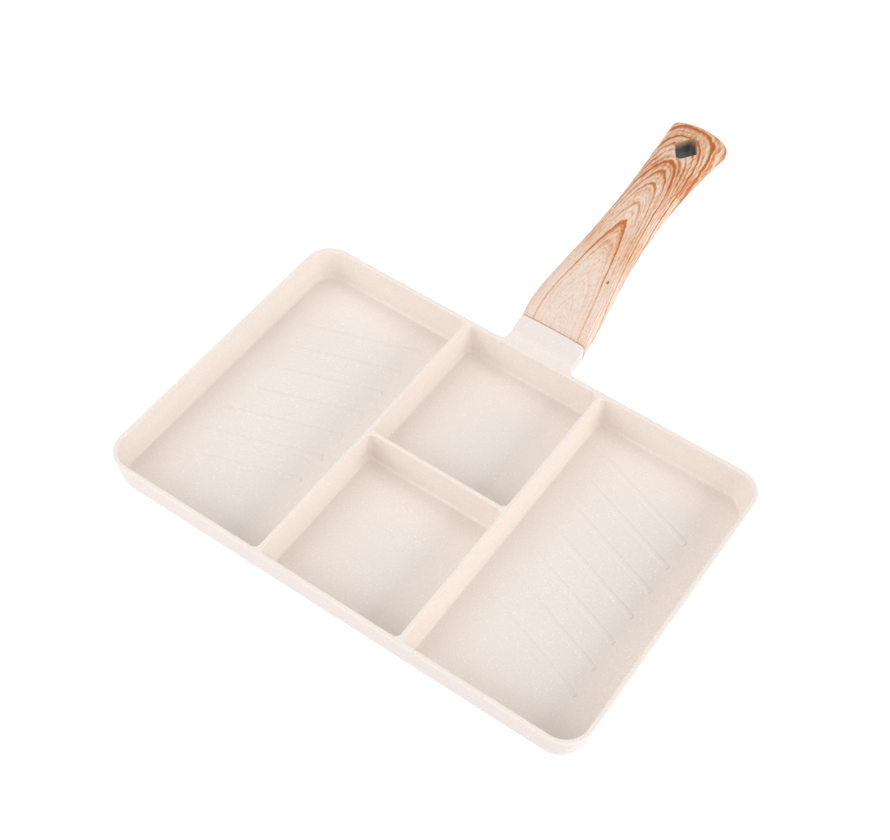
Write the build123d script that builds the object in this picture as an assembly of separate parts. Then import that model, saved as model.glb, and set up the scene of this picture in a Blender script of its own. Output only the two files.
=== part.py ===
from build123d import *
import math
import os

# Divided frying pan: a cast tray with four compartments and a screwed-on moulded handle.
# Millimetres. The origin is the centre of the underside, +Y points to the handle, +Z is up.

# Tray, measured across the rim
pan_length = 287.0
pan_width = 190.0
pan_height = 22.3
pan_corner_radius = 16.0
outer_draft = 8.0
base_edge_radius = 8.0
rim_land = 2.8
rim_edge_radius = 0.7
floor_thickness = 3.3
inner_draft = 6.0
floor_corner_radius = 12.8
floor_radius = 2.0

# Partitions between the compartments
partition_offset = 42.9
partition_thickness = 2.6
partition_draft = 3.0
partition_corner_radius = 3.2
partition_floor_corner_radius = 2.8

# Shallow slanted ribs on the floor of the two large compartments
rib_pitch = 18.0
rib_front_gap = 33.2
rib_back_gap = 19.0
rib_end_gap = 17.7
rib_partition_gap = 15.8
rib_angle = 20.0
rib_width = 4.2
rib_height = 0.25

# Lug on the back wall that carries the handle
lug_reach = 17.0
lug_tab = 4.5
lug_step_radius = 5.0
lug_flare_radius = 4.5
lug_root_depth = 13.3
lug_edge_radius = 0.6

# Section where the lug and the handle meet, its rise measured from the rim
joint_width = 40.4
joint_rise = 6.0
joint_depth = 16.5
joint_top_radius = 2.6
joint_low_radius = 6.5
joint_crown = 0.5
joint_gap = 0.3

# Tongue inside the handle
tongue_width = 16.0
tongue_thickness = 7.0
tongue_length = 38.0
tongue_root_depth = 7.5
tongue_slope = 27.0
tongue_clearance = 0.3

# Handle. Its top rises in a quick shoulder at the joint and then along a long arch
grip_length = 157.7
grip_rise = 25.7
grip_rise_power = 2.6
grip_shoulder = 6.5
grip_shoulder_run = 4.5
grip_waist_width = 28.2
grip_waist_share = 0.56
grip_waist_power = 1.5
grip_tail_width = 37.8
grip_tail_power = 1.6
grip_belly_depth = 21.8
grip_tail_depth = 13.2
grip_belly_run = 8.0
grip_crown = 2.5
grip_top_radius = 6.4
grip_low_radius = 6.8
grip_blend_run = 30.0
grip_round_limit = 0.48
grip_section_count = 12
grip_section_crowding = 1.5
grip_tail_arc_radius = 60.0
grip_tail_edge_radius = 1.6
grip_front_edge_radius = 0.4
hole_from_tail = 20.8
hole_length = 23.3
hole_width = 14.6
hole_corner_radius = 2.4
hole_edge_radius = 0.8

# Screw and washers
screw_diameter = 5.0
screw_thread_clearance = 0.1
screw_engagement = 6.0
screw_head_diameter = 9.4
screw_head_height = 3.0
screw_head_radius = 1.4
screw_cross_width = 1.2
screw_cross_length = 5.4
screw_cross_depth = 2.0
screw_place = 23.0
screw_seat_wall = 2.5
screw_hole_clearance = 0.4
flat_washer_diameter = 10.0
flat_washer_thickness = 1.0
spring_washer_diameter = 9.0
spring_washer_thickness = 1.2
spring_washer_split = 0.8
washer_bore_clearance = 0.3
recess_clearance = 0.6

# Steel plate pressed into the underside
plate_margin = 27.4
plate_corner_radius = 14.0
plate_thickness = 0.6
plate_hole_diameter = 6.0
plate_hole_pitch = 18.0
plate_hole_edge_gap = 12.0

# Length of cutting solids beyond what they cut
cut_margin = 1.0

joint_y = pan_width / 2 + lug_reach
rim_z = pan_height
joint_top = rim_z + joint_rise
joint_low = joint_top - joint_depth
lug_root_low = rim_z - lug_root_depth
tongue_root_z = joint_top - tongue_root_depth
grip_front_y = joint_y + joint_gap
grip_tail_y = grip_front_y + grip_length
grip_tail_top = joint_top + grip_rise + grip_shoulder
hole_centre_y = grip_tail_y - hole_from_tail


def inset(height, draft):
    """How far a wall of this height leans in at this draft angle."""
    return height * math.tan(math.radians(draft))


def drafted_block(low, high, drafts):
    """Block that is full size at its top and leans in on its walls towards its bottom.

    drafts holds the angles of the walls facing -X, +X, -Y and +Y.
    """
    height = high[2] - low[2]
    west, east, south, north = [inset(height, draft) for draft in drafts]
    span = 2 * pan_length
    along_x = [(low[0], high[2]), (high[0], high[2]), (high[0] - east, low[2]), (low[0] + west, low[2])]
    along_y = [(low[1], high[2]), (high[1], high[2]), (high[1] - north, low[2]), (low[1] + south, low[2])]
    lengthwise = extrude(Plane.XZ * Polygon(*along_x, align=None), amount=span, both=True)
    crosswise = extrude(Plane.YZ * Polygon(*along_y, align=None), amount=span, both=True)
    return lengthwise & crosswise


def standing_edges(block):
    """The four edges between the side walls of a drafted block."""
    return block.edges().filter_by(lambda edge: abs((edge @ 1 - edge @ 0).Z) > 0.5 * edge.length)


def bottom_edges(block):
    return block.edges().group_by(Axis.Z)[0]


def tray_blank():
    """Tray before its compartments, with its rounded base edge."""
    low = (-pan_length / 2, -pan_width / 2, 0)
    high = (pan_length / 2, pan_width / 2, rim_z)
    blank = drafted_block(low, high, [outer_draft] * 4)
    blank = fillet(standing_edges(blank), pan_corner_radius)
    return fillet(bottom_edges(blank), base_edge_radius)


def compartment_plan(low, high, outer_side, tray_radius, partition_radius):
    """Plan of one compartment at one height, between the corners low and high."""
    west_radius = tray_radius if outer_side < 0 else partition_radius
    east_radius = tray_radius if outer_side > 0 else partition_radius
    centre = Pos((low[0] + high[0]) / 2, (low[1] + high[1]) / 2)
    plan = centre * Rectangle(high[0] - low[0], high[1] - low[1])
    plan = fillet(plan.vertices().group_by(Axis.X)[0], west_radius)
    return fillet(plan.vertices().group_by(Axis.X)[-1], east_radius)


def compartment(x_low, x_high, y_low, y_high, drafts, outer_side):
    """Space of one compartment, reaching a little above the rim.

    outer_side is -1 or 1 where the compartment takes in both tray corners at that end, else 0.
    drafts holds the angles of its walls at x_low, x_high, y_low and y_high.
    """
    rise = [inset(cut_margin, draft) for draft in drafts]
    drop = [inset(rim_z - floor_thickness, draft) for draft in drafts]
    top_low = (x_low - rise[0], y_low - rise[2])
    top_high = (x_high + rise[1], y_high + rise[3])
    top_radii = (pan_corner_radius - rim_land, partition_corner_radius)
    top = compartment_plan(top_low, top_high, outer_side, *top_radii)
    floor_low = (x_low + drop[0], y_low + drop[2])
    floor_high = (x_high - drop[1], y_high - drop[3])
    floor_radii = (floor_corner_radius, partition_floor_corner_radius)
    floor = compartment_plan(floor_low, floor_high, outer_side, *floor_radii)
    space = loft([Pos(0, 0, floor_thickness) * floor, Pos(0, 0, rim_z + cut_margin) * top], ruled=True)
    return fillet(bottom_edges(space), floor_radius)


def compartments():
    """The two large end compartments and the two small middle ones."""
    end_x = pan_length / 2 - rim_land
    end_y = pan_width / 2 - rim_land
    half_wall = partition_thickness / 2
    inner, wall = partition_draft, inner_draft
    left = compartment(-end_x, -partition_offset - half_wall, -end_y, end_y, [wall, inner, wall, wall], -1)
    right = compartment(partition_offset + half_wall, end_x, -end_y, end_y, [inner, wall, wall, wall], 1)
    middle_x = partition_offset - half_wall
    back = compartment(-middle_x, middle_x, half_wall, end_y, [inner, inner, inner, wall], 0)
    front = compartment(-middle_x, middle_x, -end_y, -half_wall, [inner, inner, wall, inner], 0)
    return [left, right, back, front]


def floor_rib(outer_x, outer_y, length, side):
    """One low rounded rib that slants away from the end wall on this side of the tray."""
    crown_radius = (rib_width ** 2 / 4 + rib_height ** 2) / (2 * rib_height)
    section = Pos(0, rib_height - crown_radius) * Circle(crown_radius)
    band = Rectangle(rib_width, 2 * rib_height)
    bar = extrude(Plane.XZ * (section & band), amount=-length)
    start = Pos(side * outer_x, outer_y, floor_thickness)
    return start * Rot(0, 0, side * (90 - rib_angle)) * bar


def floor_ribs():
    """Both mirrored rows of ribs, as many as fit between the front and back walls."""
    outer_x = pan_length / 2 - rim_land - rib_end_gap
    inner_x = partition_offset + partition_thickness / 2 + rib_partition_gap
    slant = math.radians(rib_angle)
    length = (outer_x - inner_x) / math.cos(slant)
    first_y = rim_land - pan_width / 2 + rib_front_gap
    last_y = pan_width / 2 - rim_land - rib_back_gap - length * math.sin(slant)
    count = int((last_y - first_y) / rib_pitch) + 1
    ribs = []
    for side in (-1, 1):
        for index in range(count):
            ribs.append(floor_rib(outer_x, first_y + index * rib_pitch, length, side))
    return ribs


def joint_section():
    """Outline shared by the end of the lug and the front of the handle, in the XZ plane."""
    radii = (joint_top_radius, joint_low_radius)
    return section_outline(joint_width, joint_top, joint_low, joint_crown, *radii)


def section_outline(width, top, low, crown, top_radius, low_radius):
    """Closed outline with crowned top and bottom, and rounded corners. Local y is height."""
    half = width / 2
    belly = low - crown
    top_line = ThreePointArc((-half, top - crown), (0, top), (half, top - crown))
    right_line = Line((half, top - crown), (half, low))
    low_line = ThreePointArc((half, low), (0, belly), (-half, low))
    left_line = Line((-half, low), (-half, top - crown))
    face = make_face([top_line, right_line, low_line, left_line])
    face = fillet(face.vertices().group_by(Axis.Y)[-1], top_radius)
    return fillet(face.vertices().group_by(Axis.Y)[0], low_radius)


def lug_root():
    """Part of the lug that flares into the back wall and follows the wall's lean."""
    wall_y = pan_width / 2
    start_y = wall_y - rim_land / 2
    end_y = wall_y + lug_tab + lug_step_radius / 2
    neck = Pos(0, (start_y + end_y) / 2) * Rectangle(joint_width, end_y - start_y)
    strip_width = joint_width + 4 * lug_flare_radius
    strip = Pos(0, (start_y + wall_y) / 2) * Rectangle(strip_width, wall_y - start_y)
    outline = neck + strip
    wall_corners = outline.vertices().filter_by(lambda point: start_y < point.Y < end_y)
    outline = fillet(wall_corners.group_by(SortBy.DISTANCE)[0], lug_flare_radius)
    lean = (0, -math.tan(math.radians(outer_draft)), -1)
    height = rim_z - lug_root_low
    return extrude(Pos(0, 0, rim_z) * outline, amount=height / math.cos(math.radians(outer_draft)), dir=lean)


def lug_block():
    """Part of the lug that steps up from the rim to the handle."""
    wall_y = pan_width / 2
    tab_end = wall_y + lug_tab
    crest_z = joint_top + lug_edge_radius
    keel_z = joint_low - joint_crown - lug_edge_radius
    run = joint_y - tab_end
    rise = crest_z - rim_z - lug_step_radius
    bend = math.asin(lug_step_radius / math.hypot(run, rise)) + math.atan2(rise, run)
    step_y = tab_end + lug_step_radius * math.sin(bend)
    step_z = rim_z + lug_step_radius * (1 - math.cos(bend))
    half_bend = bend / 2
    middle = (tab_end + lug_step_radius * math.sin(half_bend),
              rim_z + lug_step_radius * (1 - math.cos(half_bend)))
    start_y = wall_y - rim_land / 2
    profile = [
        Line((start_y, rim_z), (tab_end, rim_z)),
        ThreePointArc((tab_end, rim_z), middle, (step_y, step_z)),
        Line((step_y, step_z), (joint_y, crest_z)),
        Line((joint_y, crest_z), (joint_y, keel_z)),
        Line((joint_y, keel_z), (start_y, lug_root_low)),
        Line((start_y, lug_root_low), (start_y, rim_z)),
    ]
    side_view = extrude(Plane.YZ * make_face(profile), amount=joint_width, both=True)
    front_plane = Plane(origin=(0, joint_y, 0), x_dir=(1, 0, 0), z_dir=(0, -1, 0))
    end_view = extrude(front_plane * joint_section(), amount=joint_y - start_y)
    block = side_view & end_view
    end_face = block.faces().sort_by(Axis.Y)[-1]
    return fillet(end_face.edges(), lug_edge_radius)


def tongue_plane(along=0.0):
    """Plane across the tongue, this far along it from the joint. Its own y points down."""
    slope = math.radians(tongue_slope)
    direction = Vector(0, math.cos(slope), math.sin(slope))
    origin = Vector(0, joint_y, tongue_root_z) + direction * along
    return Plane(origin=origin, x_dir=(1, 0, 0), z_dir=direction)


def screw_plane(depth=0.0):
    """Plane across the screw, this far below the middle of the tongue. Its normal points down."""
    place = tongue_plane(screw_place)
    return Plane(origin=place.origin + place.y_dir * depth, x_dir=(1, 0, 0), z_dir=place.y_dir)


def tongue():
    """Bar that reaches into the handle, with its root sunk into the lug."""
    root = tongue_thickness
    section = Rectangle(tongue_width, tongue_thickness)
    bar = extrude(tongue_plane(-root) * section, amount=tongue_length + root)
    thread_radius = (screw_diameter + screw_thread_clearance) / 2
    depth = screw_engagement + cut_margin
    thread_start = screw_plane(tongue_thickness / 2 - depth)
    thread = extrude(thread_start * Circle(thread_radius), amount=depth + cut_margin)
    return bar - thread


def plate_outline():
    """Plan of the base plate with its grid of holes."""
    plate_length = pan_length - 2 * plate_margin
    plate_width = pan_width - 2 * plate_margin
    columns = int((plate_length - 2 * plate_hole_edge_gap) / plate_hole_pitch) + 1
    rows = int((plate_width - 2 * plate_hole_edge_gap) / plate_hole_pitch) + 1
    plan = RectangleRounded(plate_length, plate_width, plate_corner_radius)
    holes = GridLocations(plate_hole_pitch, plate_hole_pitch, columns, rows)
    return plan - holes * Circle(plate_hole_diameter / 2)


def base_plate():
    """Thin perforated plate, flush with the underside."""
    return extrude(plate_outline(), amount=plate_thickness)


def pan_body():
    """Casting: tray, partitions, floor ribs, lug and tongue in one piece."""
    tray = tray_blank() + lug_root()
    for space in compartments():
        tray = tray - space
    top_face = tray.faces().filter_by(Axis.Z).sort_by(Axis.Z)[-1]
    lug_end = pan_width / 2 + lug_tab
    rim_edges = [edge for edge in top_face.edges() if edge.center().Y < lug_end]
    tray = fillet(rim_edges, rim_edge_radius)
    body = tray + lug_block()
    for rib in floor_ribs():
        body = body + rib
    body = body + tongue()
    return body - base_plate()


def settle(distance, run, first, last):
    """Value that starts at first and settles to last within a few runs."""
    return last + (first - last) * math.exp(-distance / run)


def grip_width(share):
    """Width of the handle at this share of its length: wide, waisted, then flared."""
    if share < grip_waist_share:
        wave = (1 + math.cos(math.pi * share / grip_waist_share)) / 2
        return grip_waist_width + (joint_width - grip_waist_width) * wave ** grip_waist_power
    flare = (share - grip_waist_share) / (1 - grip_waist_share)
    return grip_waist_width + (grip_tail_width - grip_waist_width) * flare ** grip_tail_power


def grip_section(distance):
    """Handle section this far behind the joint, as a face across the handle."""
    share = distance / grip_length
    arch = 1 - max(1 - share, 0) ** grip_rise_power
    top = joint_top + grip_rise * arch + settle(distance, grip_shoulder_run, 0, grip_shoulder)
    wave = (1 + math.cos(math.pi * min(share, 1))) / 2
    belly = grip_tail_depth + (grip_belly_depth - grip_tail_depth) * wave
    depth = belly + settle(distance, grip_belly_run, joint_depth - grip_belly_depth, 0)
    crown = settle(distance, grip_blend_run, joint_crown, grip_crown)
    largest = (depth - crown) * grip_round_limit
    top_radius = min(settle(distance, grip_blend_run, joint_top_radius, grip_top_radius), largest)
    low_radius = min(settle(distance, grip_blend_run, joint_low_radius, grip_low_radius), largest)
    outline = section_outline(grip_width(share), top, top - depth, crown, top_radius, low_radius)
    plane = Plane(origin=(0, grip_front_y + distance, 0), x_dir=(1, 0, 0), z_dir=(0, -1, 0))
    return plane * outline


def grip_solid():
    """Arched handle body, before its socket and holes."""
    sections = []
    for index in range(grip_section_count + 1):
        share = (index / grip_section_count) ** grip_section_crowding
        sections.append(grip_section(share * (grip_length + cut_margin)))
    return loft(sections)


def tail_trim():
    """Everything in plan up to the rounded end of the handle."""
    centre_y = grip_tail_y - grip_tail_arc_radius
    disc = Pos(0, centre_y) * Circle(grip_tail_arc_radius)
    strip = Pos(0, (joint_y + centre_y) / 2) * Rectangle(2 * joint_width, centre_y - joint_y)
    return extrude(disc + strip, amount=2 * grip_tail_top)


def hanging_hole():
    """Diamond-shaped hole through the tail."""
    half_length = hole_length / 2
    half_width = hole_width / 2
    points = [(half_width, 0), (0, half_length), (-half_width, 0), (0, -half_length)]
    diamond = Polygon(*points, align=None)
    diamond = fillet(diamond.vertices(), hole_corner_radius)
    return extrude(Pos(0, hole_centre_y) * diamond, amount=2 * grip_tail_top)


def hole_rims(grip):
    """Edges where the hanging hole breaks through the handle's upper and lower faces."""
    reach_x = hole_width / 2 + cut_margin
    reach_y = hole_length / 2 + cut_margin
    rims = []
    for edge in grip.edges():
        middle = edge.center()
        near = abs(middle.X) < reach_x and abs(middle.Y - hole_centre_y) < reach_y
        if near and abs((edge @ 1 - edge @ 0).Z) < edge.length / 2:
            rims.append(edge)
    return rims


def handle_grip():
    """Moulded handle with a socket for the tongue, a screw recess below and a hanging hole."""
    grip = grip_solid() & tail_trim()
    grip = fillet(grip.faces().sort_by(Axis.Y)[-1].edges(), grip_tail_edge_radius)
    grip = fillet(grip.faces().sort_by(Axis.Y)[0].edges(), grip_front_edge_radius)
    socket_depth = tongue_length + 2 * tongue_clearance
    root = tongue_thickness
    rise = tongue_clearance / 2
    socket_width = tongue_width + 2 * tongue_clearance
    socket_face = Pos(0, -rise) * Rectangle(socket_width, tongue_thickness + tongue_clearance)
    grip = grip - extrude(tongue_plane(-root) * socket_face, amount=socket_depth + root)
    seat = tongue_thickness / 2 + screw_seat_wall
    shank = (screw_diameter + screw_hole_clearance) / 2
    grip = grip - extrude(screw_plane(0) * Circle(shank), amount=seat + cut_margin)
    recess = (flat_washer_diameter + recess_clearance) / 2
    grip = grip - extrude(screw_plane(seat) * Circle(recess), amount=pan_height)
    grip = grip - hanging_hole()
    return fillet(hole_rims(grip), hole_edge_radius)


def washer(diameter, thickness, depth):
    """Plain ring with its upper face this far below the middle of the tongue."""
    bore = (screw_diameter + washer_bore_clearance) / 2
    return extrude(screw_plane(depth) * (Circle(diameter / 2) - Circle(bore)), amount=thickness)


def flat_washer():
    return washer(flat_washer_diameter, flat_washer_thickness, tongue_thickness / 2 + screw_seat_wall)


def spring_washer():
    """Ring with a narrow split on one side."""
    depth = tongue_thickness / 2 + screw_seat_wall + flat_washer_thickness
    ring = washer(spring_washer_diameter, spring_washer_thickness, depth)
    half = spring_washer_diameter / 2
    gap = Pos(half, 0) * Rectangle(half, spring_washer_split)
    cut_depth = spring_washer_thickness + 2 * cut_margin
    return ring - extrude(screw_plane(depth - cut_margin) * gap, amount=cut_depth)


def handle_screw():
    """Machine screw with a domed head and a cross recess."""
    head_depth = tongue_thickness / 2 + screw_seat_wall + flat_washer_thickness + spring_washer_thickness
    tip_depth = tongue_thickness / 2 - screw_engagement
    shank = extrude(screw_plane(tip_depth) * Circle(screw_diameter / 2), amount=head_depth - tip_depth)
    head = extrude(screw_plane(head_depth) * Circle(screw_head_diameter / 2), amount=screw_head_height)
    end_depth = head_depth + screw_head_height
    outer = head.faces().sort_by(Axis(screw_plane().origin, screw_plane().z_dir))[-1]
    head = fillet(outer.edges(), screw_head_radius)
    bar = Rectangle(screw_cross_length, screw_cross_width)
    cross = bar + Rot(0, 0, 90) * bar
    recess_plane = screw_plane(end_depth - screw_cross_depth)
    return shank + head - extrude(recess_plane * cross, amount=screw_cross_depth + cut_margin)


def write(node, shape):
    """Write one node's solids to its own file."""
    solids = shape.solids()
    result = solids[0] if len(solids) == 1 else Compound(children=list(solids))
    export_step(result, os.path.join("parts", node + ".step"))


def main():
    os.makedirs("parts", exist_ok=True)
    write("pan_body", pan_body())
    write("base_plate", base_plate())
    write("handle_grip", handle_grip())
    write("handle_screw", handle_screw())
    write("spring_washer", spring_washer())
    write("flat_washer", flat_washer())


main()
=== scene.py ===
import math

import bpy
from mathutils import Matrix, Vector


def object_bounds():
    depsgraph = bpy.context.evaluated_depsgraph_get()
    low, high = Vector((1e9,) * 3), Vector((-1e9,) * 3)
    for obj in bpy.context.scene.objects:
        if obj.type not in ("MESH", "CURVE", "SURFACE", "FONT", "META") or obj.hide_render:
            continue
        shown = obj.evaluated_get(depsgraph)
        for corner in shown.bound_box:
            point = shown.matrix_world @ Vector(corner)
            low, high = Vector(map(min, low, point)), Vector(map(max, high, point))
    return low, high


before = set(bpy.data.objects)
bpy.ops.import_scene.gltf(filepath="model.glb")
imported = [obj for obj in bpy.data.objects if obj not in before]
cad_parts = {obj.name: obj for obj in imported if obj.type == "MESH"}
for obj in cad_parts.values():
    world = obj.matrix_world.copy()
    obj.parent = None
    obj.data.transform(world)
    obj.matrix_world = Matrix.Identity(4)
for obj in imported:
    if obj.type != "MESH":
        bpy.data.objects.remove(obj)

# Divided frying pan. Metres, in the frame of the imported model: z = 0 under the tray, +Y to the handle.

cad_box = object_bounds()

MM = 0.001

# Camera, fitted to the straight edges of the rim and partitions
CAMERA_TARGET = Vector((-14.5, 29.1, 22.3)) * MM
CAMERA_AZIMUTH = -58.96
CAMERA_ELEVATION = 52.30
CAMERA_ROLL = 4.49
CAMERA_DISTANCE = 866.8 * MM
FOCAL_PIXELS = 1650.0
IMAGE_WIDTH = 890
SENSOR_WIDTH = 36.0

# Tray in millimetres, to tell its outer walls from its inside for the painted shade
TRAY_HALF_LENGTH = 143.5
TRAY_HALF_WIDTH = 95.0
TRAY_CORNER_RADIUS = 16.0
TRAY_HEIGHT = 22.3
TRAY_FLOOR = 3.3
WALL_LEAN = math.tan(math.radians(8.0))

# Handle in millimetres, for the print that follows its outline
HANDLE_START = 112.3
HANDLE_LENGTH = 157.7
JOINT_TOP = 28.3
RISE = 25.7
RISE_POWER = 2.6
SHOULDER = 6.5
SHOULDER_RUN = 4.5
JOINT_WIDTH = 40.4
WAIST_WIDTH = 28.2
WAIST_SHARE = 0.56
WAIST_POWER = 1.5
TAIL_WIDTH = 37.8
TAIL_POWER = 1.6
HOLE_FROM_TAIL = 20.8
HOLE_HALF_LENGTH = 11.65
HOLE_HALF_WIDTH = 7.3
CURVE_POINTS = 12


def handle_half_width(share):
    """Half of the handle's width at this share of its length."""
    if share < WAIST_SHARE:
        wave = (1 + math.cos(math.pi * share / WAIST_SHARE)) / 2
        return (WAIST_WIDTH + (JOINT_WIDTH - WAIST_WIDTH) * wave ** WAIST_POWER) / 2
    flare = (share - WAIST_SHARE) / (1 - WAIST_SHARE)
    return (WAIST_WIDTH + (TAIL_WIDTH - WAIST_WIDTH) * flare ** TAIL_POWER) / 2


def handle_top(share):
    """Height of the handle's crest at this share of its length."""
    arch = 1 - (1 - share) ** RISE_POWER
    shoulder = 1 - math.exp(-share * HANDLE_LENGTH / SHOULDER_RUN)
    return JOINT_TOP + RISE * arch + SHOULDER * shoulder


def srgb(red, green, blue):
    """Linear colour of an 8-bit screen colour."""
    def linear(value):
        value = value / 255
        return value / 12.92 if value <= 0.04045 else ((value + 0.055) / 1.055) ** 2.4
    return (linear(red), linear(green), linear(blue), 1.0)


class Nodes:
    """Short calls for building one material's node tree."""

    def __init__(self, name):
        self.material = bpy.data.materials.new(name)
        self.material.use_nodes = True
        self.tree = self.material.node_tree
        self.shader = self.tree.nodes["Principled BSDF"]
        coordinates = self.tree.nodes.new("ShaderNodeTexCoord")
        self.point = coordinates.outputs["Object"]

    def link(self, value, socket):
        if hasattr(value, "is_output"):
            self.tree.links.new(value, socket)
        else:
            socket.default_value = value

    def math(self, operation, *values, clamp=False):
        node = self.tree.nodes.new("ShaderNodeMath")
        node.operation = operation
        node.use_clamp = clamp
        for value, socket in zip(values, node.inputs):
            self.link(value, socket)
        return node.outputs[0]

    def axes(self, vector):
        node = self.tree.nodes.new("ShaderNodeSeparateXYZ")
        self.link(vector, node.inputs[0])
        return node.outputs

    def join(self, x, y, z):
        node = self.tree.nodes.new("ShaderNodeCombineXYZ")
        for value, socket in zip((x, y, z), node.inputs):
            self.link(value, socket)
        return node.outputs[0]

    def millimetres(self):
        """The point's x, y and z in millimetres."""
        return self.axes(self.scale(self.point, (1 / MM, 1 / MM, 1 / MM)))

    def scale(self, vector, factors):
        node = self.tree.nodes.new("ShaderNodeVectorMath")
        node.operation = "MULTIPLY"
        self.link(vector, node.inputs[0])
        node.inputs[1].default_value = factors
        return node.outputs[0]

    def noise(self, vector, scale, detail=2.0, roughness=0.5):
        node = self.tree.nodes.new("ShaderNodeTexNoise")
        self.link(vector, node.inputs["Vector"])
        node.inputs["Scale"].default_value = scale
        node.inputs["Detail"].default_value = detail
        node.inputs["Roughness"].default_value = roughness
        return node.outputs[0]

    def spots(self, vector, scale, radius, share):
        """Round dots, 1 inside. share is the part of the cells that carry one."""
        node = self.tree.nodes.new("ShaderNodeTexVoronoi")
        self.link(vector, node.inputs["Vector"])
        node.inputs["Scale"].default_value = scale
        node.inputs["Randomness"].default_value = 1.0
        dot = self.fade(node.outputs["Distance"], radius, radius * 0.55)
        chance = self.axes(node.outputs["Color"])[0]
        chosen = self.math("LESS_THAN", chance, share)
        return self.math("MULTIPLY", dot, chosen)

    def fade(self, value, low, high, low_out=0.0, high_out=1.0):
        """Smooth step of value from low to high."""
        node = self.tree.nodes.new("ShaderNodeMapRange")
        node.interpolation_type = "SMOOTHSTEP"
        self.link(value, node.inputs["Value"])
        flip = low > high
        ends = (high, low) if flip else (low, high)
        outs = (high_out, low_out) if flip else (low_out, high_out)
        node.inputs["From Min"].default_value = ends[0]
        node.inputs["From Max"].default_value = ends[1]
        node.inputs["To Min"].default_value = outs[0]
        node.inputs["To Max"].default_value = outs[1]
        return node.outputs["Result"]

    def curve(self, value, points):
        """Value of a smooth curve through points, all within 0 to 1."""
        node = self.tree.nodes.new("ShaderNodeFloatCurve")
        self.link(value, node.inputs["Value"])
        line = node.mapping.curves[0]
        while len(line.points) < len(points):
            line.points.new(0.5, 0.5)
        for knot, place in zip(line.points, points):
            knot.location = place
        node.mapping.update()
        return node.outputs[0]

    def profile(self, share, formula, largest):
        """Values of a formula of share, which stays under largest."""
        shares = [index / CURVE_POINTS for index in range(CURVE_POINTS + 1)]
        points = [(point, formula(point) / largest) for point in shares]
        return self.math("MULTIPLY", self.curve(share, points), largest)

    def ramp(self, value, stops):
        node = self.tree.nodes.new("ShaderNodeValToRGB")
        self.link(value, node.inputs[0])
        elements = node.color_ramp.elements
        while len(elements) < len(stops):
            elements.new(1.0)
        for element, (position, colour) in zip(elements, stops):
            element.position = position
            element.color = colour
        return node.outputs[0]

    def mix(self, factor, first, second):
        node = self.tree.nodes.new("ShaderNodeMix")
        node.data_type = "RGBA"
        self.link(factor, node.inputs[0])
        self.link(first, node.inputs[6])
        self.link(second, node.inputs[7])
        return node.outputs[2]

    def bump(self, height, distance, strength=1.0):
        node = self.tree.nodes.new("ShaderNodeBump")
        node.inputs["Strength"].default_value = strength
        node.inputs["Distance"].default_value = distance
        self.link(height, node.inputs["Height"])
        self.link(node.outputs[0], self.shader.inputs["Normal"])


def set_shader(nodes, **values):
    """Uniform values straight on the shader's sockets."""
    for name, value in values.items():
        nodes.shader.inputs[name.replace("_", " ")].default_value = value


def outer_painted_shade(n):
    """Mask of the painted shade: 1 on the tray's outer walls and underside, less on the lug, 0 inside."""
    x, y, z = n.millimetres()
    lean = n.math("MULTIPLY", n.math("SUBTRACT", TRAY_HEIGHT, z), WALL_LEAN)
    past = []
    for place, half in ((x, TRAY_HALF_LENGTH), (y, TRAY_HALF_WIDTH)):
        reach = n.math("SUBTRACT", n.math("ABSOLUTE", place), half - TRAY_CORNER_RADIUS)
        past.append(n.math("ADD", reach, lean))
    squares = [n.math("POWER", n.math("MAXIMUM", value, 0.0), 2.0) for value in past]
    corner = n.math("SQRT", n.math("ADD", *squares))
    straight = n.math("MINIMUM", n.math("MAXIMUM", *past), 0.0)
    distance = n.math("SUBTRACT", n.math("ADD", corner, straight), TRAY_CORNER_RADIUS)
    wall = n.math("MULTIPLY", n.fade(distance, -2.0, -1.5), n.fade(z, TRAY_HEIGHT - 0.2, TRAY_HEIGHT - 1.0))
    below = n.fade(z, TRAY_FLOOR, TRAY_FLOOR - 0.4)
    lug = n.fade(y, 99.0, 104.0, 0.0, 0.5)
    return n.math("MAXIMUM", n.math("MAXIMUM", wall, below), lug)


def cream_coating():
    """Satin cream coating with fine pale speckles and a few grey ones.

    Its outer walls, underside and lug are painted a shade greyer and darker, a painted shade where the lit
    scene comes out too bright.
    """
    n = Nodes("cream_coating")
    broad = n.noise(n.point, 22.0, 3.0)
    colour = n.mix(broad, srgb(236, 225, 217), srgb(241, 232, 224))
    # Painted shade: a greyer, darker cream on the outer walls, underside and lug.
    colour = n.mix(outer_painted_shade(n), colour, srgb(228, 216, 213))
    grain = n.noise(n.point, 900.0, 2.0)
    colour = n.mix(n.fade(grain, 0.35, 0.7, 0.0, 0.35), colour, srgb(226, 213, 204))
    pale = n.spots(n.point, 850.0, 0.36, 0.16)
    colour = n.mix(n.math("MULTIPLY", pale, 0.65), colour, srgb(255, 252, 248))
    large = n.spots(n.point, 320.0, 0.15, 0.05)
    colour = n.mix(n.math("MULTIPLY", large, 0.5), colour, srgb(255, 252, 248))
    grey = n.spots(n.point, 360.0, 0.15, 0.02)
    colour = n.mix(n.math("MULTIPLY", grey, 0.4), colour, srgb(160, 144, 134))
    n.link(colour, n.shader.inputs["Base Color"])
    n.link(n.fade(grain, 0.3, 0.7, 0.36, 0.46), n.shader.inputs["Roughness"])
    height = n.math("ADD", grain, n.math("MULTIPLY", pale, 0.5))
    n.bump(height, 0.00005, 0.5)
    return n.material


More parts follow.
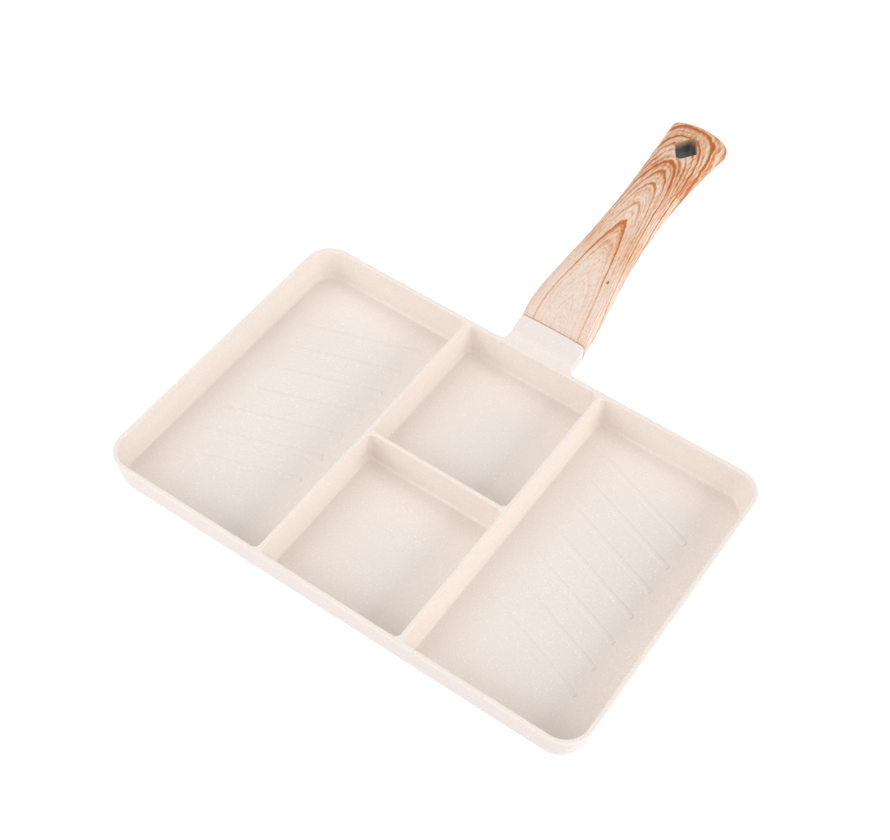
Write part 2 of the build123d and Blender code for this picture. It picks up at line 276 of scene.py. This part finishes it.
# Rings of the wood print: where each arch's tip lies along the handle, its strength and its width
INNER_RINGS = (
    (150.0, 0.20, 5.0), (167.0, 0.30, 4.0), (181.5, 0.95, 6.5), (198.0, 0.30, 3.0), (206.0, 0.25, 2.5),
    (214.5, 0.55, 3.0), (225.0, 0.45, 4.0), (235.5, 1.00, 3.4), (240.5, 0.30, 1.8),
)
OUTER_RINGS = (
    (246.0, 0.50, 1.8), (252.0, 0.55, 2.0), (258.5, 0.95, 2.2), (262.8, 0.35, 1.4), (267.0, 1.00, 2.2),
    (269.8, 0.60, 1.2), (272.5, 0.60, 1.4),
)

# Share of the orange tint between the rings, at shares of the handle's length
TINT = (
    (0.0, 0.0), (0.24, 0.04), (0.33, 0.20), (0.43, 0.10), (0.52, 0.05), (0.62, 0.08), (0.71, 0.29),
    (0.80, 0.10), (0.95, 0.13), (1.0, 0.13),
)
RING_START = 100.0
RING_END = 290.0

# An arch's legs fall back towards the joint by this much at the handle's sides, less nearer the tail
LEG_LENGTH = 120.0
LEG_LOSS = 0.746
LEG_POWER = 1.65
DROP_START = 3.0
DROP_WEIGHT = 0.23
CREST_X = 0.9
CREST_DRIFT = -3.2

KNOT_X = 12.4
KNOT_Y = 144.8
KNOT_STRETCH = 1.6


def ring_place(n, x, y, z, along, top):
    """Where the crest meets the arch that runs through a point, in millimetres along the handle."""
    half_width = n.profile(along, handle_half_width, 25.0)
    centre = n.math("ADD", n.math("MULTIPLY", along, CREST_DRIFT), CREST_X)
    side = n.math("SUBTRACT", x, centre)
    drop = n.math("MAXIMUM", n.math("SUBTRACT", n.math("SUBTRACT", top, z), DROP_START), 0.0)
    drop_part = n.math("MULTIPLY", n.math("MULTIPLY", drop, drop), DROP_WEIGHT)
    spread = n.math("ADD", n.math("MULTIPLY", side, side), drop_part)
    across = n.math("DIVIDE", n.math("SQRT", spread), half_width)
    loss = n.math("MULTIPLY", n.math("SUBTRACT", y, HANDLE_START), LEG_LOSS)
    leg = n.math("SUBTRACT", LEG_LENGTH, loss)
    return n.math("ADD", y, n.math("MULTIPLY", leg, n.math("POWER", across, LEG_POWER)))


def ring_lines(n, ring, rings):
    """Strength of the arches: each darkens slowly towards its tip side and then stops short."""
    stops = []
    for place, strength, width in rings:
        for offset, value in ((-width, 0.0), (0.0, strength), (width * 0.4, 0.0)):
            position = (place + offset - RING_START) / (RING_END - RING_START)
            stops.append((position, (value, value, value, 1.0)))
    share = n.math("DIVIDE", n.math("SUBTRACT", ring, RING_START), RING_END - RING_START, clamp=True)
    return n.ramp(share, stops)


def waver(n, y):
    """Millimetres by which the arches stray, less near the tail."""
    swell = n.math("SUBTRACT", n.noise(n.scale(n.point, (1.0, 0.5, 1.0)), 90.0, 2.0), 0.5)
    ripple = n.math("SUBTRACT", n.noise(n.scale(n.point, (1.0, 0.35, 1.0)), 600.0, 3.0), 0.5)
    ripple_size = n.fade(y, 235.0, 250.0, 4.0, 2.4)
    return n.math("ADD", n.math("MULTIPLY", swell, 5.0), n.math("MULTIPLY", ripple, ripple_size))


def grain_strength(n, y, along, ring):
    """How dark the grain is, from arches, thin contours, streaks and tint."""
    arches = n.math("ADD", ring_lines(n, ring, INNER_RINGS), ring_lines(n, ring, OUTER_RINGS))
    flow = n.scale(n.join(ring, n.math("MULTIPLY", y, 0.12), 0.0), (MM, MM, MM))
    contours = n.fade(n.noise(flow, 420.0, 4.0, 0.65), 0.46, 0.62)
    streaks = n.fade(n.noise(n.scale(n.point, (1.0, 0.10, 1.0)), 1300.0, 3.0, 0.6), 0.44, 0.62)
    specks = n.fade(n.noise(n.scale(n.point, (1.0, 0.3, 1.0)), 2600.0, 2.0), 0.5, 0.7)
    breaks = n.noise(n.scale(n.point, (1.0, 0.3, 1.0)), 120.0, 3.0)
    to_tail = n.fade(y, 115.0, 240.0, 0.62, 1.3)
    lines = n.math("MULTIPLY", arches, n.fade(breaks, 0.25, 0.5, 0.6, 1.0))
    lines = n.math("ADD", lines, n.math("MULTIPLY", contours, 0.28))
    lines = n.math("ADD", lines, n.math("MULTIPLY", streaks, 0.24))
    lines = n.math("SUBTRACT", lines, n.math("MULTIPLY", specks, 0.16))
    return n.math("ADD", n.math("MULTIPLY", lines, to_tail), n.curve(along, TINT), clamp=True)


def knot(n, x, y):
    """1 in the small dark knot near the joint."""
    aside = n.math("SUBTRACT", x, KNOT_X)
    ahead = n.math("DIVIDE", n.math("SUBTRACT", y, KNOT_Y), KNOT_STRETCH)
    distance = n.math("ADD", n.math("POWER", aside, 2.0), n.math("POWER", ahead, 2.0))
    return n.fade(distance, 0.8, 0.2)


def in_hole(n, x, y):
    """1 within the diamond of the hanging hole."""
    hole_centre = HANDLE_START + HANDLE_LENGTH - HOLE_FROM_TAIL
    aside = n.math("DIVIDE", n.math("ABSOLUTE", x), HOLE_HALF_WIDTH)
    ahead = n.math("DIVIDE", n.math("ABSOLUTE", n.math("SUBTRACT", y, hole_centre)), HOLE_HALF_LENGTH)
    return n.fade(n.math("ADD", aside, ahead), 1.06, 1.0)


def wood_print():
    """Pale wood-grain print with nested arches that point to the tail."""
    n = Nodes("wood_print")
    x, y, z = n.millimetres()
    along = n.math("DIVIDE", n.math("SUBTRACT", y, HANDLE_START), HANDLE_LENGTH)
    top = n.profile(along, handle_top, 70.0)
    ring = n.math("ADD", ring_place(n, x, y, z, along, top), waver(n, y))
    lines = grain_strength(n, y, along, ring)
    colour = n.ramp(lines, (
        (0.0, srgb(230, 215, 206)), (0.3, srgb(224, 188, 160)),
        (0.65, srgb(207, 142, 88)), (1.0, srgb(184, 96, 30)),
    ))
    colour = n.mix(n.math("MULTIPLY", knot(n, x, y), 0.85), colour, srgb(140, 70, 34))
    # Painted shade down the walls of the hanging hole, darker with depth.
    depth = n.fade(n.math("SUBTRACT", top, z), 1.5, 7.0)
    hole_painted_shade = n.mix(depth, srgb(176, 146, 120), srgb(92, 88, 88))
    colour = n.mix(in_hole(n, x, y), colour, hole_painted_shade)
    n.link(colour, n.shader.inputs["Base Color"])
    n.link(n.fade(lines, 0.0, 1.0, 0.40, 0.52), n.shader.inputs["Roughness"])
    n.bump(lines, -0.00004, 0.6)
    return n.material


def base_steel():
    """Brushed steel plate with a faint heat tint."""
    n = Nodes("base_steel")
    brush = n.noise(n.scale(n.point, (1.0, 40.0, 1.0)), 60.0, 3.0)
    broad = n.noise(n.point, 18.0, 2.0)
    colour = n.mix(brush, srgb(176, 175, 173), srgb(206, 205, 203))
    colour = n.mix(n.fade(broad, 0.45, 0.75, 0.0, 0.25), colour, srgb(196, 184, 165))
    n.link(colour, n.shader.inputs["Base Color"])
    n.link(n.fade(brush, 0.3, 0.7, 0.28, 0.42), n.shader.inputs["Roughness"])
    set_shader(n, Metallic=1.0)
    n.bump(brush, 0.00003, 0.5)
    return n.material


def plated_steel():
    """Zinc-plated steel with a faint mottle."""
    n = Nodes("plated_steel")
    mottle = n.noise(n.point, 700.0, 3.0)
    colour = n.mix(mottle, srgb(188, 190, 190), srgb(216, 216, 212))
    n.link(colour, n.shader.inputs["Base Color"])
    n.link(n.fade(mottle, 0.3, 0.7, 0.22, 0.36), n.shader.inputs["Roughness"])
    set_shader(n, Metallic=1.0)
    n.bump(mottle, 0.00002, 0.4)
    return n.material


def dress_nodes():
    """Give each CAD node its material."""
    finishes = {
        "pan_body": cream_coating(),
        "handle_grip": wood_print(),
        "base_plate": base_steel(),
    }
    plated = plated_steel()
    for name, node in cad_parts.items():
        material = finishes.get(name, plated)
        node.data.materials.clear()
        node.data.materials.append(material)


# Stage, in metres, and the even light of the studio around it
FLOOR_HALF = 6.0
FLOOR_GAP = 0.0002
STUDIO_STRENGTH = 0.52


def stage_material():
    n = Nodes("floor_white")
    tone = n.noise(n.point, 3.0, 2.0)
    n.link(n.mix(tone, srgb(90, 90, 90), srgb(96, 96, 96)), n.shader.inputs["Base Color"])
    set_shader(n, Roughness=0.9, Specular_IOR_Level=0.1, Emission_Color=(1, 1, 1, 1), Emission_Strength=0.95)
    return n.material


def make_floor():
    """Large plain floor under the pan."""
    mesh = bpy.data.meshes.new("floor")
    corners = [
        (-FLOOR_HALF, -FLOOR_HALF, 0), (FLOOR_HALF, -FLOOR_HALF, 0),
        (FLOOR_HALF, FLOOR_HALF, 0), (-FLOOR_HALF, FLOOR_HALF, 0),
    ]
    mesh.from_pydata(corners, [], [(0, 1, 2, 3)])
    floor = bpy.data.objects.new("floor", mesh)
    floor.location.z = cad_box[0].z - FLOOR_GAP
    bpy.context.scene.collection.objects.link(floor)
    mesh.materials.append(stage_material())


# Soft lamps around the pan: name, azimuth from the -Y side towards +X, elevation, watts
LAMPS = (
    ("front_lamp", 0.0, 30.0, 3.3),
    ("right_lamp", 90.0, 22.0, 14.5),
    ("left_front_lamp", -45.0, 26.0, 9.3),
    ("back_lamp", -135.0, 52.0, 5.0),
)
LAMP_DISTANCE = 1.6
LAMP_SIZE = 1.0
LAMP_TARGET = Vector((0, 0.06, 0.02))


def area_light(name, azimuth, elevation, power):
    """Square lamp that faces the pan."""
    a, e = math.radians(azimuth), math.radians(elevation)
    away = Vector((math.sin(a) * math.cos(e), -math.cos(a) * math.cos(e), math.sin(e)))
    data = bpy.data.lights.new(name, "AREA")
    data.shape = "SQUARE"
    data.size = LAMP_SIZE
    data.energy = power
    lamp = bpy.data.objects.new(name, data)
    lamp.location = LAMP_TARGET + away * LAMP_DISTANCE
    lamp.rotation_mode = "QUATERNION"
    lamp.rotation_quaternion = (-away).to_track_quat("-Z", "Y")
    bpy.context.scene.collection.objects.link(lamp)


def make_lights():
    for name, azimuth, elevation, power in LAMPS:
        area_light(name, azimuth, elevation, power)
    world = bpy.data.worlds.new("studio")
    world.use_nodes = True
    background = world.node_tree.nodes["Background"]
    background.inputs["Color"].default_value = (1.0, 1.0, 1.0, 1.0)
    background.inputs["Strength"].default_value = STUDIO_STRENGTH
    bpy.context.scene.world = world


def make_camera():
    azimuth, elevation = math.radians(CAMERA_AZIMUTH), math.radians(CAMERA_ELEVATION)
    back = Vector((math.cos(elevation) * math.cos(azimuth), math.cos(elevation) * math.sin(azimuth),
                   math.sin(elevation)))
    level = Vector((0, 0, 1)).cross(back).normalized()
    upright = back.cross(level)
    roll = math.radians(CAMERA_ROLL)
    right = level * math.cos(roll) + upright * math.sin(roll)
    up = upright * math.cos(roll) - level * math.sin(roll)
    data = bpy.data.cameras.new("camera")
    data.sensor_width = SENSOR_WIDTH
    data.lens = FOCAL_PIXELS * SENSOR_WIDTH / IMAGE_WIDTH
    camera = bpy.data.objects.new("camera", data)
    turn = Matrix((right, up, back)).transposed().to_4x4()
    camera.matrix_world = Matrix.Translation(CAMERA_TARGET + back * CAMERA_DISTANCE) @ turn
    bpy.context.scene.collection.objects.link(camera)
    bpy.context.scene.camera = camera


bpy.context.scene.view_settings.view_transform = "Standard"
dress_nodes()
make_floor()
make_lights()
make_camera()
